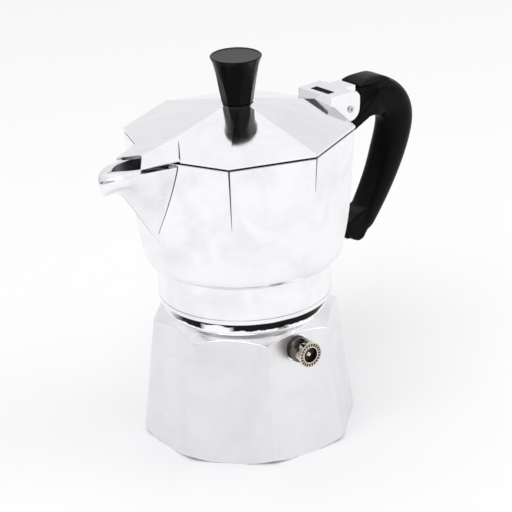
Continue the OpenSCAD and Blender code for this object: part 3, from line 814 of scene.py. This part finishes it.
def crease_cutters():
    """Fine grooves lined with painted shade along the spout's keel, under the rim's corners and where the spout
    meets the body.
    """
    keel = [spline(SPOUT_STATIONS, i / 40) for i in range(2, 21)]
    radii = [0.06 + 0.14 * math.sin(math.pi * i / 18) for i in range(19)]
    cutters = [tube("keel_line", [(-reach, 0, low) for reach, _, _, low in keel], radii, crease_shade_paint)]
    for k in range(8):
        angle, low_z = 45 * k, 116 - 13 * (k % 2)
        if angle == 180:
            continue
        a = math.radians(angle)
        heights = [low_z + (RIM_Z + 1 - low_z) * i / 16 for i in range(17)]
        points = []
        for z in heights:
            r = body_radius(angle, min(z, RIM_Z)) + 0.06
            points.append((r * math.cos(a), r * math.sin(a), z))
        rim_width = 0.16 + 0.24 * (k % 2)
        radii = [0.05 + rim_width * (i / 16) ** 0.8 for i in range(17)]
        cutters.append(tube("corner_line_%d" % k, points, radii, crease_shade_paint))
    for side in (-1, 1):
        points, radii = [], []
        for i in range(25):
            z = SPOUT_LINE_LOW_Z + SPOUT_LINE_HEIGHT * i / 24
            y = 10.0
            for _ in range(12):
                angle = math.degrees(math.asin(min(0.9, y / 44)))
                x = body_radius(angle, z) * math.cos(math.radians(angle))
                y = 0.5 * y + 0.5 * spout_half_width(x, z)
            angle = math.degrees(math.atan2(y, x))
            r = body_radius(angle, z)
            points.append((-r * math.cos(math.radians(angle)), side * r * math.sin(math.radians(angle)), z))
            radii.append(0.1 + 0.2 * (i / 24) ** 0.8)
        cutters.append(tube("spout_line", points, radii, crease_shade_paint))
    return cutters


# Tongues that carry the handle, as outlines in X and Z
LUG_OUTLINE = [(42, 107.5), (50, 112.2), (53.2, 117.5), (53.2, 124.5)]
LUG_EYE_R = 4
for degrees in range(-60, 200, 10):
    a = math.radians(degrees)
    LUG_OUTLINE.append((HINGE_X + LUG_EYE_R * math.cos(a), HINGE_Z + LUG_EYE_R * math.sin(a)))
LUG_OUTLINE += [(48.3, 129.4), (42, 129.4)]
FOOT_OUTLINE = [(34.5, 66.5), (48, 68.4), (52, 70.6), (52, 73.4), (49.5, 73.4)]
FOOT_OUTLINE += [(49.5, 74.4), (38, 76), (34.5, 75.6)]
TONGUE_HALF_W = 2.4


def build_collector():
    body = new_object("collector_casting", *column_surface(collector_outline, 0), polished)
    body.data.materials.append(turned)
    body.data.materials.append(cast_and_painted_shade)
    for face in body.data.polygons:
        c, normal = face.center / MM, face.normal
        r = math.hypot(c.x, c.y)
        outward = (c.x * normal.x + c.y * normal.y) / max(r, 1e-6)
        # Insides and floor: cast finish, darkened as painted shade
        if r < 28 or outward < -0.2 or (c.z < 100 and normal.z > 0.3):
            face.material_index = 2
    spout = spout_solid("spout", 0, 0, 0, polished)
    boolean(body, spout, "UNION")
    channel = spout_solid("spout_channel", SPOUT_WALL, 3.2, 3, cast_and_painted_shade)
    boolean(body, channel, "DIFFERENCE")
    lug = extruded("hinge_lug", LUG_OUTLINE, -TONGUE_HALF_W, TONGUE_HALF_W, cast_and_painted_shade)
    boolean(body, lug, "UNION")
    foot = extruded("foot_lug", FOOT_OUTLINE, -TONGUE_HALF_W, TONGUE_HALF_W, cast_and_painted_shade)
    boolean(body, foot, "UNION")
    boolean(body, cylinder("pin_bore", PIN_R + 0.05, -20, 20, hinge_axis(), 48, cast_and_painted_shade), "DIFFERENCE")
    for cutter in crease_cutters():
        boolean(body, cutter, "DIFFERENCE")
    shade(body, 28)
    place(body, "collector", "polished_aluminium", "collector")
    ridge = thread(33.2, 32.9 - THREAD_DEPTH, THREAD_FIRST_Z - THREAD_PITCH / 2, THREAD_TURNS)
    ridge = new_object("collector_thread", *ridge, turned)
    shade(ridge, 25)
    place(ridge, "collector", "polished_aluminium")


build_collector()


# ---------------------------------------------------------------- lid
LID_LOW_Z = 130.7
HOOD_TOP_Z = 135.7


def fold_cutters():
    """Fine grooves lined with painted shade where the beak rises out of the lid, wider towards the lid's edge.
    """
    cutters = []
    for side in (-1, 1):
        ridge, root = Vector((-31.3, 0, 135.9)), Vector((-41.2, 13.3 * side, 132.3))
        shares = [0.12 + 0.9 * i / 12 for i in range(13)]
        radii = [0.05 + 0.55 * (i / 12) ** 1.2 for i in range(13)]
        cutters.append(tube("fold_line", [tuple(ridge.lerp(root, t)) for t in shares], radii, crease_shade_paint))
    return cutters


def beak_undercut(side):
    """Wedge cut under the beak's edge and lined with painted shade for a dark reflection, open towards the fold
    and closed at the tip.
    """
    rings = []
    for x, y, high in ((-41.5, 13.6, 131.3), (-55.5, 8.1, 130.4)):
        shape = ((0.8, 130.1), (0.8, high), (-1.2, high), (-1.2, 130.1))
        rings.append([(x - 0.35 * out, side * (y + out), z) for out, z in shape])
    return new_object("beak_undercut", *loft(rings), crease_shade_paint)


def hood_slot():
    """Deep slot in the roof of the hinge block, lined with painted shade."""
    front, rear, floor, above = 44.2, 47.9, HOOD_TOP_Z - 2.4, HOOD_TOP_Z + 1
    outline = [(front, floor), (rear, floor), (rear, above), (front, above)]
    return extruded("hood_slot", outline, -5.6, 5.6, crease_shade_paint)


def build_lid():
    """The CAD lid with softened edges, painted shade on its underside, and its lines, wedges and slot lined
    with painted shade.
    """
    lid = copy_of_node("lid_casting", "lid")
    lid.data.materials.append(lid_metal)
    lid.data.materials.append(crease_shade_paint)
    bevel(lid, 0.3, 3, 8)
    for face in lid.data.polygons:
        c = face.center / MM
        # Painted shade on the lid's underside and skirt
        if c.z < LID_LOW_Z + 0.4 and math.hypot(c.x, c.y) < RIM_R * OCTAGON_FLAT - 1.5:
            face.material_index = 1
    for cutter in fold_cutters() + [beak_undercut(-1), beak_undercut(1), hood_slot()]:
        boolean(lid, cutter, "DIFFERENCE")
    shade(lid, 40)
    place(lid, "lid", "polished_aluminium", "lid")


build_lid()


# ---------------------------------------------------------------- knob
KNOB_WAIST_R = 6.6
KNOB_TURN = 12.5


def knob_radius(t):
    """Radius at a share of the height: it flares most just under the top."""
    return KNOB_WAIST_R + (KNOB_R - KNOB_WAIST_R) * (0.72 * t + 0.28 * t**6)


def build_knob():
    """Round at the top, with eight flats that rise from the foot and end in arches under the rim."""
    foot_flat, flats_end = 6.05, 0.8
    height = KNOB_TOP_Z - KNOB_LOW_Z
    steps = 48
    rings = []
    for i in range(steps + 1):
        t = i / steps
        flat = foot_flat + (knob_radius(flats_end) - foot_flat) * (t / flats_end) ** 1.25
        if t > flats_end:
            flat = knob_radius(t)
        ring = []
        for k in range(192):
            angle = 360 * k / 192
            from_flat = (angle - KNOB_TURN) % 45 - 22.5
            r = min(knob_radius(t), flat / math.cos(math.radians(from_flat)))
            a, z = math.radians(angle), KNOB_LOW_Z + 0.55 + (height - 1.0) * t
            ring.append((r * math.cos(a), r * math.sin(a), z))
        rings.append(ring)
    foot = [(x * 0.92, y * 0.92, KNOB_LOW_Z) for x, y, z in rings[0]]
    top = rings[-1]
    rim = ((0.995, -0.2), (0.965, 0), (0.925, -0.03), (0.885, -0.26), (0.8, -0.3), (0.02, -0.28))
    caps = [[(x * k, y * k, KNOB_TOP_Z + dz) for x, y, z in top] for k, dz in rim]
    knob = new_object("knob_grip", *loft([foot] + rings + caps), knob_black)
    shade(knob, 24)
    place(knob, "lid", "black_plastic", "knob")


build_knob()


# ---------------------------------------------------------------- handle
# Bezier curves along the grip's middle and outlines of its ends, in X and Z
GRIP_CURVE = ((61.2, 66.8), (72.6, 80.6), (84.2, 99), (86.6, 111.5))
BEND_CURVE = ((86.6, 111.5), (88.5, 121.2), (79.2, 127.4), (70, 128.9))
HANDLE_HALF_W = handle_high.y
HEAD_TOP_Z = 136.8
HEAD_OUTLINE = (
    (62.3, 134.8), (64, 135.7), (66.5, 136.5), (69, 136.8), (72, 136.8), (75, 136.4), (79, 134.8), (82, 132),
    (80, 122), (74, 119),
    (70, 120.3), (67, 120.4), (57.8, 116.5), (44, 110.3), (44, 117.5), (50.2, 120.4), (48.6, 125),
    (55.6, 123.5), (56, 121.6), (62.9, 124.6), (63.1, 132.4), (62.3, 132.8),
)
FOOT_SHAPE = (
    (67.5, 79.5), (65.8, 68.6), (63.4, 65.4), (60.6, 64.8), (57.6, 66.2), (55.8, 67.6), (54.4, 67.2),
    (50, 71.4), (44, 69), (38.6, 69), (38.6, 74.6), (50, 75), (57, 75.6), (60.5, 77.5),
)


def bezier(points, t):
    p = [np.array(q, float) for q in points]
    return p[0] * (1 - t) ** 3 + 3 * p[1] * t * (1 - t) ** 2 + 3 * p[2] * t * t * (1 - t) + p[3] * t**3


def bezier_slope(points, t):
    p = [np.array(q, float) for q in points]
    return 3 * (p[1] - p[0]) * (1 - t) ** 2 + 6 * (p[2] - p[1]) * t * (1 - t) + 3 * (p[3] - p[2]) * t * t


def grip_ring(curve, t, half_depth, half_w, pinch=0.0):
    """Oval loop across the grip, square to its curve in X and Z, flatter by a share on its inner side."""
    point, slope = bezier(curve, t), bezier_slope(curve, t)
    ux, uz = slope / np.linalg.norm(slope)
    loop = []
    for k in range(48):
        a = 2 * math.pi * k / 48
        depth = half_depth * math.copysign(abs(math.cos(a)) ** 0.86, math.cos(a))
        depth *= 1 - pinch * max(0.0, math.cos(a))
        side = half_w * math.copysign(abs(math.sin(a)) ** 0.86, math.sin(a))
        loop.append((point[0] - uz * depth, side, point[1] + ux * depth))
    return loop


def grip_solid():
    """The grip from its foot up the straight stretch and over the bend."""
    rings = []
    for i in range(30):
        t = i / 30
        soft = min(1.0, 0.62 + 3 * t)
        pinch = 0.26 * math.sin(math.pi * min(1.0, (t + 0.1) / 0.8))
        rings.append(grip_ring(GRIP_CURVE, t, (8.15 - 3.2 * (1 - t) ** 2) * soft, (6 + t) * soft, pinch))
    for i in range(31):
        t = i / 30
        depth = 8.15 + 0.4 * math.sin(math.pi * t) - 0.6 * t
        rings.append(grip_ring(BEND_CURVE, t, depth, HANDLE_HALF_W - 0.1 + 0.08 * t))
    return new_object("handle_grip", *loft(rings), black)


def scooped(obj):
    """Presses hollows for the lid's ears into both sides of the head, which run out behind."""
    lower = ((50, 120.6), (57.7, 120.6), (60, 121.6), (64.4, 124.2), (68, 126.6), (71, 128.8), (76, 132))
    upper = ((50, 136.4), (59.2, 136), (62, 135.8), (67, 135), (71, 133.8), (76, 132.2))
    flat = np.empty(len(obj.data.vertices) * 3)
    obj.data.vertices.foreach_get("co", flat)
    points = flat.reshape(-1, 3) / MM
    x, y, z = points.T

    def eased(distance, width):
        t = np.clip(distance / width, 0, 1)
        return t * t * (3 - 2 * t)

    above = eased(z - np.interp(x, *zip(*lower)), 2.6)
    below = eased(np.interp(x, *zip(*upper)) - z, 2.2)
    share = above * below * eased(76 - x, 12)
    limit = HANDLE_HALF_W - 2.1 * share
    points[:, 1] = np.where((x > 49) & (share > 0), np.clip(y, -limit, limit), y)
    obj.data.vertices.foreach_set("co", (points * MM).ravel())


def collector_solid(gap):
    """Outside of the collector, a little larger, as a cutter."""
    def outline(from_corner):
        heights = [BULGE_Z + (RIM_Z - BULGE_Z) * i / 12 for i in range(13)]
        points = [(0.02, COLLAR_Z), (COLLAR_R + gap, COLLAR_Z), (COLLAR_R + gap, COLLAR_TOP_Z)]
        for i in range(1, 12):
            a = math.radians(7.5 * i)
            low_r = COLLAR_R + (BULGE_R - COLLAR_R) * math.sin(a)
            points.append((low_r + gap, BULGE_Z - (BULGE_Z - COLLAR_TOP_Z) * math.cos(a) - gap))
        for z in heights:
            points.append((octagon_radius(from_corner, collector_flat(z), collector_corner(z)) + gap, z))
        return points + [(0.02, RIM_Z)]
    return new_object("collector_clearance", *column_surface(outline, 0), black)


def head_envelope():
    """Round-topped block along X that narrows behind, which the head is cut to."""
    rings = []
    for x, half_w in ((40, HANDLE_HALF_W), (66, HANDLE_HALF_W), (72, 6.8), (77, 5.8), (83, 4.4)):
        shape = ((-half_w, 100, 0), (-half_w, HEAD_TOP_Z, 4.2), (half_w, HEAD_TOP_Z, 4.2), (half_w, 100, 0))
        rings.append([(x, y, z) for y, z in rounded(shape, 8)])
    return new_object("head_envelope", *loft(rings), black)


def build_handle():
    """Grip, head, foot and hinge eye melted together, then cut clear of the collector, lid and tongues."""
    handle = grip_solid()
    head = extruded("handle_head", HEAD_OUTLINE, -HANDLE_HALF_W + 0.02, HANDLE_HALF_W - 0.02, black)
    boolean(head, head_envelope(), "INTERSECT")
    boolean(handle, head, "UNION")
    foot = extruded("handle_foot", FOOT_SHAPE, -5.4, 5.4, black)
    bevel(foot, 1.3, 3, 30)
    boolean(handle, foot, "UNION")
    eye = cylinder("handle_eye", 4.2, -HANDLE_HALF_W + 0.02, HANDLE_HALF_W - 0.02, hinge_axis(), 48, black)
    boolean(handle, eye, "UNION")
    remeshed(handle, 0.42, 10)
    scooped(handle)
    boolean(handle, collector_solid(0.15), "DIFFERENCE")
    cutters = [cylinder("handle_cavity", 10.8, -5.4, 5.4, hinge_axis(), 96, black)]
    cutters.append(cylinder("handle_bore", PIN_R + 0.05, -20, 20, hinge_axis(), 48, black))
    cutters.append(extruded("upper_slot", [(40, 100), (57.2, 100), (57.2, 140), (40, 140)], -2.6, 2.6, black))
    cutters.append(extruded("lower_slot", [(34, 60), (52.3, 60), (52.3, 90), (34, 90)], -2.6, 2.6, black))
    for cutter in cutters:
        boolean(handle, cutter, "DIFFERENCE")
    shade(handle, 38, weighted=False)
    place(handle, "collector", "black_plastic", "handle")


build_handle()


# ---------------------------------------------------------------- carried-over nodes
CARRIED = {
    "valve_washer": fibre, "valve_lock_nut": brass, "valve_plunger": nickel, "valve_seal": silicone,
    "valve_spring": steel, "funnel_cup": pressed, "funnel_tube": pressed, "funnel_strainer": pressed,
    "gasket": silicone, "filter_plate": pressed, "chimney": pressed, "knob_screw": steel, "hinge_pin": steel,
}
for node, material in CARRIED.items():
    for slot in nodes[node].material_slots:
        slot.material = material


# ---------------------------------------------------------------- floor, lights and camera
FLOOR_HALF = 4000
FLOOR_Z = -0.02


def build_stage():
    signs = ((-1, -1), (1, -1), (1, 1), (-1, 1))
    corners = [(FLOOR_HALF * x, FLOOR_HALF * y, FLOOR_Z) for x, y in signs]
    floor = new_object("floor", corners, [(0, 1, 2, 3)])
    n = Nodes("floor")
    n.shader.inputs["Base Color"].default_value = (0.97, 0.97, 0.97, 1)
    n.shader.inputs["Roughness"].default_value = 0.9
    floor.data.materials.append(n.material)


# Direction, cosine where the zone starts, cosine where it is full, brightness
WORLD_LOBES = (
    ((0, 0, 1), 0.1, 0.75, 0.9),
    ((0.6, 0.8, 0.05), 0.6, 0.9, 0.86),
    ((0.30, 0.45, 0.84), 0.89, 0.965, 1.15),
    ((-0.64, -0.77, 0.1), 0.55, 0.95, 0.35),
    ((-0.86, 0.50, 0.12), 0.94, 0.965, 0.08),
)
WORLD_LEVEL = 0.62


def build_world():
    """Soft white studio: bright overhead and at one side, with a broad grey zone and a small dark one."""
    world = bpy.data.worlds.new("studio")
    bpy.context.scene.world = world
    world.use_nodes = True
    tree = world.node_tree
    background = tree.nodes["Background"]
    coords = tree.nodes.new("ShaderNodeTexCoord").outputs["Generated"]
    parts = tree.nodes.new("ShaderNodeSeparateXYZ")
    tree.links.new(coords, parts.inputs[0])

    def lobe(direction, low, high):
        """1 in a direction and 0 away from it, with a soft edge between two cosines."""
        dot = tree.nodes.new("ShaderNodeVectorMath")
        dot.operation = "DOT_PRODUCT"
        tree.links.new(coords, dot.inputs[0])
        dot.inputs[1].default_value = Vector(direction).normalized()
        ramp = tree.nodes.new("ShaderNodeMapRange")
        ramp.interpolation_type = "SMOOTHSTEP"
        tree.links.new(dot.outputs["Value"], ramp.inputs["Value"])
        ramp.inputs["From Min"].default_value = low
        ramp.inputs["From Max"].default_value = high
        return ramp.outputs["Result"]

    def mixed(value, factor, level):
        node = tree.nodes.new("ShaderNodeMix")
        tree.links.new(factor, node.inputs["Factor"])
        if isinstance(value, float):
            node.inputs["A"].default_value = value
        else:
            tree.links.new(value, node.inputs["A"])
        node.inputs["B"].default_value = level
        return node.outputs["Result"]

    level = WORLD_LEVEL
    for direction, low, high, amount in WORLD_LOBES:
        level = mixed(level, lobe(direction, low, high), amount)
    tint = tree.nodes.new("ShaderNodeMix")
    tint.data_type = "RGBA"
    tree.links.new(level, tint.inputs["Factor"])
    tint.inputs["A"].default_value = (0, 0, 0, 1)
    tint.inputs["B"].default_value = (1.0, 1.0, 1.015, 1)
    tree.links.new(tint.outputs["Result"], background.inputs["Color"])
    background.inputs["Strength"].default_value = 1.0


def area_light(name, location, size, power):
    data = bpy.data.lights.new(name, "AREA")
    data.shape = "RECTANGLE"
    data.size, data.size_y = size
    data.energy = power
    light = bpy.data.objects.new(name, data)
    light.location = location
    light.rotation_mode = "QUATERNION"
    light.rotation_quaternion = (Vector((0, 0, 0.08)) - Vector(location)).to_track_quat("-Z", "Y")
    bpy.context.scene.collection.objects.link(light)


def build_camera():
    azimuth, elevation, roll = (math.radians(a) for a in (-39.58, 22.93, -2.31))
    distance, look_z = 0.9242, 0.0747
    level = math.cos(elevation)
    back = Vector((math.sin(azimuth) * level, -math.cos(azimuth) * level, math.sin(elevation)))
    right = Vector((math.cos(azimuth), math.sin(azimuth), 0))
    up = back.cross(right)
    x_axis = right * math.cos(roll) + up * math.sin(roll)
    y_axis = -right * math.sin(roll) + up * math.cos(roll)
    data = bpy.data.cameras.new("camera")
    data.sensor_width = 36
    data.lens = 156.73
    data.shift_x = 0.0238
    data.clip_start, data.clip_end = 0.05, 20
    camera = bpy.data.objects.new("camera", data)
    rotation = Matrix((x_axis, y_axis, back)).transposed().to_4x4()
    camera.matrix_world = Matrix.Translation(Vector((0, 0, look_z)) + back * distance) @ rotation
    bpy.context.scene.collection.objects.link(camera)
    bpy.context.scene.camera = camera


build_stage()
build_world()
area_light("key", (-0.9, -0.5, 1.6), (1.2, 1.2), 9)
area_light("fill", (1.2, -0.9, 0.9), (0.9, 0.9), 3)
build_camera()
bpy.context.scene.view_settings.view_transform = "Standard"
